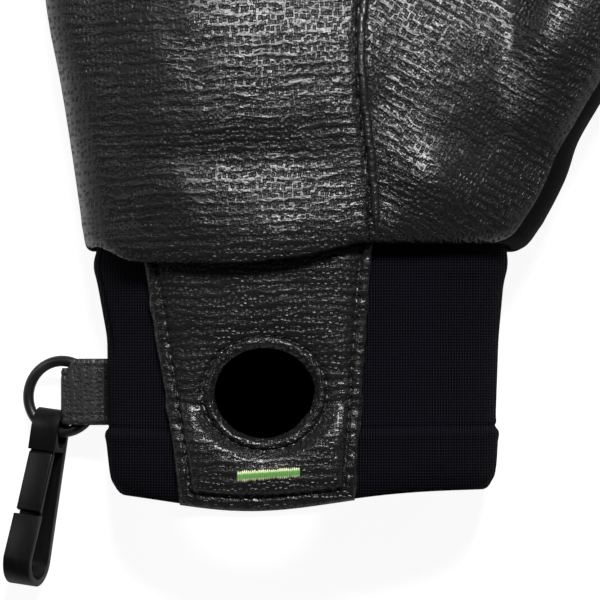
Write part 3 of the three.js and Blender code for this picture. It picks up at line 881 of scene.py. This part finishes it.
def side_block(side):
    """Block above or below the side seam."""
    bm = grid(12, 30)
    base = 2.0 * PALM_WIDTH * side
    bmesh.ops.extrude_face_region(bm, geom=bm.faces[:], use_keep_orig=True)
    upper = set(bm.verts[len(bm.verts) // 2:])
    for v in bm.verts:
        x = (v.co.x * SHEET_WIDTH - SHEET_OUTSIDE) * PALM_WIDTH
        y = HEEL_Y + (v.co.y * SHEET_LENGTH - SHEET_BEHIND) * PALM_LENGTH
        v.co = (x, y, base if v in upper else seam_height(x, y) + side * SEAM_GAP)
    return outward(bm)


def thumb_line():
    """The seam between palm and thumb leather, in mm."""
    return [Vector(p) for p in spline([on_palm(p) for p in THUMB_SEAM], 6)]


def thumb_block(side):
    """Block on the palm's side or the thumb's side of the thumb seam."""
    line = thumb_line() + [Vector(on_palm(p)) for p in WEB_GAP]
    far = side * 2 * PALM_WIDTH
    outline = [p + Vector((side * SEAM_GAP, 0)) for p in line]
    outline += [Vector((far, outline[-1].y)), Vector((far, outline[0].y))]
    bm = bmesh.new()
    base = bm.faces.new([bm.verts.new((p.x, p.y, -PALM_HEIGHT)) for p in outline])
    made = bmesh.ops.extrude_face_region(bm, geom=[base], use_keep_orig=True)
    top = [v for v in made["geom"] if isinstance(v, bmesh.types.BMVert)]
    bmesh.ops.translate(bm, vec=(0, 0, 3 * PALM_HEIGHT), verts=top)
    bmesh.ops.triangulate(bm, faces=bm.faces)
    return outward(bm)


def cut(base, tools):
    """Keeps the part of a mesh that lies in, or out of, each tool; tools are (bmesh, operation)."""
    body = loose(base, "cut_base")
    helpers = []
    for i, (shape, operation) in enumerate(tools):
        helper = loose(shape, f"cut_tool_{i}")
        helpers.append(helper)
        change = body.modifiers.new(f"cut_{i}", "BOOLEAN")
        change.operation = operation
        change.solver = "MANIFOLD"
        change.object = helper
    bm = bmesh.new()
    bm.from_object(body, bpy.context.evaluated_depsgraph_get())
    for piece in [body, *helpers]:
        bpy.data.objects.remove(piece)
    if not bm.faces:
        raise RuntimeError("a cut left nothing")
    return bm


def wrap(p):
    """Carries the pattern on down the sides of a form."""
    return p.x + math.copysign(max(0.0, PATTERN_TURN_Z - p.z), p.x)


def flat_pattern(p):
    return (p.x, p.y, 0.0)


def palm_pattern(p):
    return (wrap(p), p.y - 0.05 * p.x, 0.0)


def thumb_pattern(p):
    c, s = math.cos(THUMB_GRAIN), math.sin(THUMB_GRAIN)
    x = wrap(p)
    return (x * c - p.y * s, x * s + p.y * c, 0.0)


class GLOVE_OT_panels(bpy.types.Operator):
    """Palm leather, thumb leather and softshell back"""

    bl_idname = "glove.panels"
    bl_label = "Hand panels"

    def execute(self, context):
        shell = hand_shell()
        shape_palm(shell)
        context.scene["glove_shell"] = loose(shell.copy(), "glove_shell").name
        palm = cut(shell.copy(), [(side_block(1), "INTERSECT"), (thumb_block(-1), "INTERSECT")])
        thumb = cut(shell.copy(), [(side_block(1), "INTERSECT"), (thumb_block(1), "INTERSECT")])
        back = cut(shell, [(side_block(-1), "INTERSECT")])
        finish_mesh(palm, "palm_leather", "palm leather", "palm_panel", palm_pattern)
        finish_mesh(thumb, "thumb_leather", "palm leather", "thumb_panel", thumb_pattern)
        finish_mesh(back, "back_softshell", "softshell cloth", "back_panel")
        return {"FINISHED"}


def above(tree, x, y):
    """Point on the palm side over a place, in mm."""
    hit = tree.ray_cast(Vector((x, y, 100.0)), Vector((0, 0, -1)))
    return hit[0], hit[1]


class GLOVE_OT_seams(bpy.types.Operator):
    """Rolled edge and topstitches along the thumb seam"""

    bl_idname = "glove.seams"
    bl_label = "Seams"

    def execute(self, context):
        shell = bpy.data.objects[context.scene["glove_shell"]]
        bm = bmesh.new()
        bm.from_mesh(shell.data)
        tree = BVHTree.FromBMesh(bm)
        bm.free()
        bpy.data.objects.remove(shell)
        line = [p for p in thumb_line() if p.y > HEEL_Y + 0.5]

        def offset(by):
            found = []
            for i, p in enumerate(line):
                ahead = (line[min(i + 1, len(line) - 1)] - line[max(i - 1, 0)]).normalized()
                spot = p + Vector((ahead.y, -ahead.x)) * by
                point, normal = above(tree, spot.x, spot.y)
                if point is not None:
                    found.append((point, normal))
            return found

        middle = offset(WELT_ASIDE)
        points = [p for p, _ in middle]
        ups = [n for _, n in middle]

        def welt(along, turn):
            at = along * (len(points) - 1)
            i = min(int(at), len(points) - 2)
            t = at - i
            p = points[i].lerp(points[i + 1], t)
            ahead = (points[i + 1] - points[i]).normalized()
            side = ahead.cross(ups[i]).normalized()
            fade = smooth(along / 0.02) * smooth((1 - along) / 0.03)
            size = 0.25 + 0.75 * fade
            rise = WELT_HEIGHT * size * math.sin(turn) + WELT_LIFT
            return p + side * (WELT_HALF_WIDTH * size * math.cos(turn)) + ups[i] * rise

        finish_mesh(tube(welt, 200, 14), "thumb_seam_edge", "edge leather",
                    pattern=flat_pattern)
        for i, (by, lift, finish, length) in enumerate(THUMB_STITCHES):
            path = [p + n * lift for p, n in offset(by)]
            rows = stitch_row(path, length, spare=0.9)
            finish_mesh(rows, f"thumb_seam_stitches_{i + 1}", finish)
        return {"FINISHED"}


class GLOVE_OT_cuff(bpy.types.Operator):
    """Knit cuff with a turned hem and a side seam"""

    bl_idname = "glove.cuff"
    bl_label = "Cuff"

    def execute(self, context):
        rows = [(1 - i / CUFF_OUTER_ROWS, 0.0) for i in range(CUFF_OUTER_ROWS - 1)]
        rows += [(0.006, 0.25), (0.0, 0.8), (0.0, CUFF_WALL - 0.8), (0.006, CUFF_WALL - 0.25)]
        rows += [((i + 1) / CUFF_INNER_ROWS, CUFF_WALL) for i in range(CUFF_INNER_ROWS)]
        count = len(rows)
        bm = grid(count, CUFF_SIDES)
        for v in bm.verts:
            level, inset = rows[round(v.co.x * count) % count]
            turn = 2 * math.pi * round(v.co.y * CUFF_SIDES) / CUFF_SIDES
            relief = 0.0
            if inset == 0.0:
                relief = ridge(level, *HEM_LINE) + ridge(level, *HEM_SWELL)
                relief += ridge(turn, *CUFF_SEAM) * smooth((level - CUFF_SEAM_START) / 0.05)
            point = cuff_point(turn, level, inset - relief)
            if inset == 0.0:
                point.z += 0.3 * noise.noise(point / 16)
            v.co = point
        outward(bm)
        body = cut(bm, [(hole_post(0.0, 60), "DIFFERENCE")])
        finish_mesh(body, "knit_cuff", "ribbed knit", "cuff", lambda p: (wrap(p), p.y, 0.0))
        return {"FINISHED"}


def hole_post(grow, sides):
    """Upright oval post through the palm side of the cuff."""
    bm = bmesh.new()
    bmesh.ops.create_cone(bm, cap_ends=True, segments=sides, radius1=1, radius2=1, depth=1)
    bmesh.ops.scale(bm, vec=(HOLE_RX + grow, HOLE_RY + grow, CUFF_HEIGHT), verts=bm.verts)
    bmesh.ops.translate(bm, vec=(HOLE_X, HOLE_Y, HOLE_POST_FOOT + CUFF_HEIGHT / 2), verts=bm.verts)
    return bm


TAB_BOTTOM = HEEL_Y - CUFF_LENGTH - TAB_OVERHANG
TAB_TOP = HEEL_Y + TAB_TUCK


def tab_width(along):
    return TAB_HEM_WIDTH + (TAB_TOP_WIDTH - TAB_HEM_WIDTH) * along


def tab_spot(across, along):
    """Across (-0.5 to 0.5) and along (0 to 1) shares of the tab to a place on the cuff."""
    x = TAB_CENTRE - TAB_SKEW * along + across * tab_width(along)
    x += 0.8 * across * noise.noise(Vector((9 * across, 14 * along, 2.3)))
    low = TAB_BOTTOM + (1 - along) * hem_curve(x)
    return x, low + (TAB_TOP - low) * along


def hole_distance(x, y):
    """Distance outside the wrist hole's edge, in mm."""
    u, v = (x - HOLE_X) / HOLE_RX, (y - HOLE_Y) / HOLE_RY
    return (math.hypot(u, v) - 1) * (HOLE_RX + HOLE_RY) / 2


def tab_relief(across, along):
    """Height of the tab leather over its plain slab, in mm."""
    x, y = tab_spot(across, along)
    side = (0.5 - abs(across)) * tab_width(along)
    foot = along * (TAB_TOP - TAB_BOTTOM)
    edge = min(side, foot)
    border = sizes().border
    crumple = noise.noise(Vector((x / 1.9, y / 1.9, 0.4)))
    relief = 0.25 * smooth((border + 0.3 - edge) / 0.6) * (1 + 1.6 * crumple)
    relief -= 0.9 * smooth((0.9 - edge) / 0.9) ** 2
    pitch = 1.45 * sizes().stitch_length / MM
    run = y if side < foot else x
    relief -= ridge(edge - border, BORDER_STITCHES, 0.42, 0.55 + 0.25 * math.cos(2 * math.pi * run / pitch))
    out = hole_distance(x, y)
    turn = math.atan2(y - HOLE_Y, x - HOLE_X)
    relief -= ridge(out - BINDING, RIM_STITCHES, 0.5, 0.7 + 0.25 * math.cos(32 * turn))
    puff = smooth((out - BINDING) / 6) * smooth((edge - border) / 3)
    below = smooth((out - BINDING - 0.3) / DENT_REACH) * smooth((HOLE_Y - 2 - y) / 5)
    below *= smooth((edge - border) / 1.5)
    return relief + (PUFF_RISE * puff + DENT_RISE * below + 0.25 * noise.noise(Vector((x / 9, y / 7, 1.7))))


def tab_surface(x, y, lift):
    """A point of the tab leather's upper side, lifted by some mm."""
    along = 0.5
    for _ in range(5):
        low = TAB_BOTTOM + (1 - along) * hem_curve(x)
        along = (y - low) / (TAB_TOP - low)
    across = (x - TAB_CENTRE + TAB_SKEW * along) / tab_width(along)
    return Vector((x, y, cuff_top(x, y) + GAP + TAB_THICK + tab_relief(across, along) + lift))


class GLOVE_OT_tab(bpy.types.Operator):
    """Leather tab with a folded border, a rimmed hole and its stitches"""

    bl_idname = "glove.tab"
    bl_label = "Wrist tab"

    def execute(self, context):
        def leather_slab(across, along, upper):
            x, y = tab_spot(across - 0.5, along)
            if upper:
                return tab_surface(x, y, 0.0)
            return Vector((x, y, cuff_top(x, y) + 0.25))

        bm = cut(slab(130, 150, leather_slab), [(hole_post(1.2, 96), "DIFFERENCE")])
        finish_mesh(bm, "tab_leather", "tab leather", "wrist_tab",
                    lambda p: (p.x, p.y - 0.02 * p.x, 0.0))

        def rim(along, turn):
            angle = along * 2 * math.pi
            out = 0.5 + 0.5 * power(math.cos(turn), 0.8)
            roll = smooth((0.55 - out) / 0.55)
            lumps = noise.noise(Vector((2.6 * math.cos(angle), 2.6 * math.sin(angle), 4.2)))
            ripple = 0.28 * lumps * (1 - out)
            ripple -= ridge(angle, 5.6, 0.5, 0.5) * (1 - out)
            x = HOLE_X + (HOLE_RX + out * BINDING + ripple) * math.cos(angle)
            y = HOLE_Y + (HOLE_RY + out * BINDING + ripple) * math.sin(angle)
            up = power(math.sin(turn), 0.8)
            top = TAB_THICK + 0.25 - 1.1 * roll + 0.16 * noise.noise(Vector((x / 2.4, y / 2.4, 0)))
            rise = top * (0.5 + 0.5 * up) if up > 0 else top * 0.5 + 2.6 * up * (1 - out)
            return Vector((x, y, cuff_top(x, y) + GAP + rise))

        finish_mesh(tube(rim, 160, 20, closed=True), "hole_rim", "tab leather",
                    "hole_binding", flat_pattern)

        inset = sizes().border + BORDER_STITCHES
        length = TAB_TOP - TAB_BOTTOM
        left, right = [], []
        for i in range(61):
            along = (inset + 0.5 + i / 60 * (length - inset - 1)) / length
            left.append((-0.5 + inset / tab_width(along), along))
            right.append((0.5 - inset / tab_width(along), along))
        corner = (inset + 1.2) / TAB_HEM_WIDTH
        foot = [(-0.5 + corner + i / 40 * (1 - 2 * corner), inset / length) for i in range(41)]
        border = [tab_surface(*tab_spot(a, b), 0.16) for a, b in left[::-1] + foot + right]
        ring = []
        for i in range(121):
            angle = 2 * math.pi * i / 120
            x = HOLE_X + (HOLE_RX + BINDING + RIM_STITCHES) * math.cos(angle)
            y = HOLE_Y + (HOLE_RY + BINDING + RIM_STITCHES) * math.sin(angle)
            ring.append(tab_surface(x, y, 0.12))
        rows = bmesh.new()
        for path in (border, ring):
            join(rows, stitch_row(path))
        finish_mesh(rows, "tab_stitches", "dark thread")
        return {"FINISHED"}


class GLOVE_OT_tack(bpy.types.Operator):
    """Green bar tack of satin stitches"""

    bl_idname = "glove.tack"
    bl_label = "Bar tack"

    def execute(self, context):
        bm = bmesh.new()
        rise = math.tan(math.radians(TACK_TILT))
        for i in range(TACK_STITCHES):
            across = ((i + 0.5) / TACK_STITCHES - 0.5) * TACK_WIDTH
            x, y = HOLE_X + TACK_ASIDE + across, TACK_Y + across * rise
            base = tab_surface(x, y, -0.1)
            wide = TACK_WIDTH / TACK_STITCHES * 0.62
            tall = TACK_HEIGHT / 2 * (1.08 + 0.34 * noise.noise(Vector((i * 1.7, 0.3, 0))))
            shape = Matrix.Diagonal((wide, tall, 0.75, 1.0))
            made = bmesh.ops.create_uvsphere(bm, u_segments=10, v_segments=8, radius=1.0)
            for v in made["verts"]:
                v.co.y = power(v.co.y, 0.7)
                v.co = shape @ v.co + base

        def stitch_share(p):
            across = p.x - HOLE_X - TACK_ASIDE
            up = (p.y - TACK_Y - across * rise) / (TACK_HEIGHT / 2)
            return (across / TACK_WIDTH * TACK_STITCHES, up, 0.0)

        finish_mesh(bm, "tack_stitches", "green thread", "bar_tack", stitch_share)
        return {"FINISHED"}


def strap_place():
    """Where the strap leaves the cuff, as a matrix in mm."""
    left = cuff_row(cuff_level(STRAP_Y))[0] - GAP
    droop = Matrix.Rotation(-math.radians(STRAP_DROOP), 4, "Y")
    return Matrix.Translation((left, STRAP_Y, STRAP_ROOT_Z)) @ droop


def hairpin(share):
    """Middle line of the folded strap: out along the floor side, round the fold, and back."""
    room = WIRE_RADIUS + 0.45 + STRAP_THICK / 2
    line = spline([(out, share * room) for out, share in STRAP_LINE], 8)
    at = share * (len(line) - 1)
    i = min(int(at), len(line) - 2)
    a, b = Vector(line[i]), Vector(line[i + 1])
    return a.lerp(b, at - i), (b - a).normalized()


class GLOVE_OT_strap(bpy.types.Operator):
    """Folded strap loop that holds the ring"""

    bl_idname = "glove.strap"
    bl_label = "Strap loop"

    def execute(self, context):
        place = strap_place()

        def at(along, across, lift):
            spot, ahead = hairpin(along)
            share = smooth((spot.x - 7.0) / 1.9)
            width = STRAP_ROOT_WIDTH + (STRAP_FOLD_WIDTH - STRAP_ROOT_WIDTH) * share
            out = spot + Vector((ahead.y, -ahead.x)) * lift
            return place @ Vector((-out.x, across * width + share * STRAP_SKEW, out.y))

        def layer(along, across, upper):
            edge = (0.5 - abs(across - 0.5)) * 12
            thick = STRAP_THICK / 2 * (0.45 + 0.55 * smooth(edge / 0.8))
            thick -= ridge(edge, 1.6, 0.35, 0.12)
            return at(along, across - 0.5, thick if upper else -thick)

        # The strap's finish is a copy of the leather painted lighter, as painted light.
        finish_mesh(slab(120, 40, layer), "strap_loop", "strap leather painted lighter", "ring_strap",
                    lambda p: (p.y, p.x, 0.0))
        return {"FINISHED"}


class GLOVE_OT_ring(bpy.types.Operator):
    """Round metal ring"""

    bl_idname = "glove.ring"
    bl_label = "Ring"

    def execute(self, context):
        place = strap_place() @ Matrix.Translation((-RING_OUTREACH, -RING_DROP, 0))

        def wire(along, turn):
            angle = along * 2 * math.pi
            out = RING_RADIUS + WIRE_RADIUS * math.cos(turn)
            up = WIRE_RADIUS * math.sin(turn)
            return place @ Vector((out * math.cos(angle), out * math.sin(angle), up))

        finish_mesh(tube(wire, 96, 20, closed=True), "ring_wire", "black metal", "ring")
        return {"FINISHED"}


def rounded_copy(node, name, body):
    """A node's merged copy with its flat faces joined and its edges rounded."""
    bm = merged(node)
    bmesh.ops.dissolve_limit(bm, angle_limit=math.radians(1), verts=bm.verts, edges=bm.edges)
    sharp = [e for e in bm.edges if len(e.link_faces) == 2 and e.calc_face_angle() > math.radians(32)]
    bmesh.ops.bevel(bm, geom=sharp, offset=sizes().edge_round, offset_type="OFFSET", segments=3, profile=0.5,
                    affect="EDGES", clamp_overlap=True, material=-1)
    finish_mesh(bm, name, "hook plastic", node, body=body, scale=1.0)


def gate_tongues():
    """Thin ends of the gate that tuck in behind the nose and the eye."""
    along = -math.cos(GATE_TILT) * HOOK_LONG + math.sin(GATE_TILT) * HOOK_FRONT
    out = math.cos(GATE_TILT) * HOOK_FRONT + math.sin(GATE_TILT) * HOOK_LONG
    bm = bmesh.new()
    for start, end, low, rise, high, across in GATE_TONGUES:
        made = bmesh.ops.create_cube(bm, size=1.0)
        for v in made["verts"]:
            far, wide, upper = v.co.x > 0, v.co.y, v.co.z > 0
            top = high if far else rise
            v.co = (GATE_PIVOT + along * (end if far else start) + HOOK_WIDE * wide * across
                    + out * (top if upper else low))
    bmesh.ops.bevel(bm, geom=bm.edges[:], offset=TONGUE_ROUND, offset_type="OFFSET", segments=2, profile=0.5,
                    affect="EDGES", clamp_overlap=True, material=-1)
    finish_mesh(outward(bm), "gate_tongues", "hook plastic", body="gate")


class GLOVE_OT_hook(bpy.types.Operator):
    """Snap hook and its gate"""

    bl_idname = "glove.hook"
    bl_label = "Snap hook"

    def execute(self, context):
        rounded_copy("hook_body", "hook_strip", "glove")
        rounded_copy("hook_gate", "gate_blade", "gate")
        gate_tongues()
        return {"FINISHED"}


def softbox(name, place, size, power_w):
    """Rectangular lamp that faces the glove."""
    data = bpy.data.lights.new(name, "AREA")
    data.shape = "RECTANGLE"
    data.size, data.size_y = size
    data.energy = power_w
    lamp = bpy.data.objects.new(name, data)
    lamp.location = place
    lamp.rotation_euler = (Vector(LIT_POINT) - Vector(place)).to_track_quat("-Z", "Y").to_euler()
    bpy.context.scene.collection.objects.link(lamp)


class GLOVE_OT_stage(bpy.types.Operator):
    """Pale floor, soft lights and the camera"""

    bl_idname = "glove.stage"
    bl_label = "Stage"

    def execute(self, context):
        scene = context.scene
        bm = bmesh.new()
        bmesh.ops.create_grid(bm, x_segments=2, y_segments=2, size=3.0)
        floor = loose(bm, "floor")
        floor.location = (0, 0, -FLOOR_DROP)
        m = Finish("pale floor")
        seen = m.add("LightPath")
        glow = m.math("MULTIPLY_ADD", seen, FLOOR_SEEN_GLOW, FLOOR_GLOW)
        floor.data.materials.append(m.surface(color=(0.3, 0.3, 0.3, 1), roughness=0.9, specular=0.1,
                                              glow=(1, 1, 1, 1), glow_strength=glow))
        world = bpy.data.worlds.new("studio")
        world.use_nodes = True
        world.node_tree.nodes["Background"].inputs[0].default_value = (1, 1, 1, 1)
        world.node_tree.nodes["Background"].inputs[1].default_value = WORLD_LIGHT
        scene.world = world
        scene.view_settings.view_transform = "Standard"
        for light in LIGHTS:
            softbox(*light)
        data = bpy.data.cameras.new("camera")
        data.sensor_width = SENSOR_WIDTH
        data.lens = SENSOR_WIDTH * CAMERA_PLACE[2] / MM / VIEW_WIDTH
        data.clip_start, data.clip_end = 0.1, 20
        camera = bpy.data.objects.new("camera", data)
        camera.location = CAMERA_PLACE
        scene.collection.objects.link(camera)
        scene.camera = camera
        return {"FINISHED"}


class GLOVE_PT_panel(bpy.types.Panel):
    """Lists the glove's operators, sizes and colours"""

    bl_idname = "GLOVE_PT_panel"
    bl_label = "Climbing glove"
    bl_space_type = "VIEW_3D"
    bl_region_type = "UI"
    bl_category = "Glove"

    def draw(self, context):
        for operator in OPERATORS:
            self.layout.operator(operator.bl_idname)
        for group in (context.scene.glove_sizes, context.scene.glove_colors):
            for name in group.bl_rna.properties.keys():
                if name not in ("rna_type", "name"):
                    self.layout.prop(group, name)


OPERATORS = [
    GLOVE_OT_stage,
    GLOVE_OT_panels,
    GLOVE_OT_seams,
    GLOVE_OT_cuff,
    GLOVE_OT_tab,
    GLOVE_OT_tack,
    GLOVE_OT_strap,
    GLOVE_OT_ring,
    GLOVE_OT_hook,
]
CLASSES = [GloveSizes, GloveColors, *OPERATORS, GLOVE_PT_panel]


def register():
    for item in CLASSES:
        bpy.utils.register_class(item)
    bpy.types.Scene.glove_sizes = PointerProperty(type=GloveSizes)
    bpy.types.Scene.glove_colors = PointerProperty(type=GloveColors)


def unregister():
    del bpy.types.Scene.glove_sizes
    del bpy.types.Scene.glove_colors
    for item in reversed(CLASSES):
        bpy.utils.unregister_class(item)


def main():
    register()
    for operator in OPERATORS:
        family, name = operator.bl_idname.split(".")
        getattr(getattr(bpy.ops, family), name)()


if __name__ == "__main__":
    main()
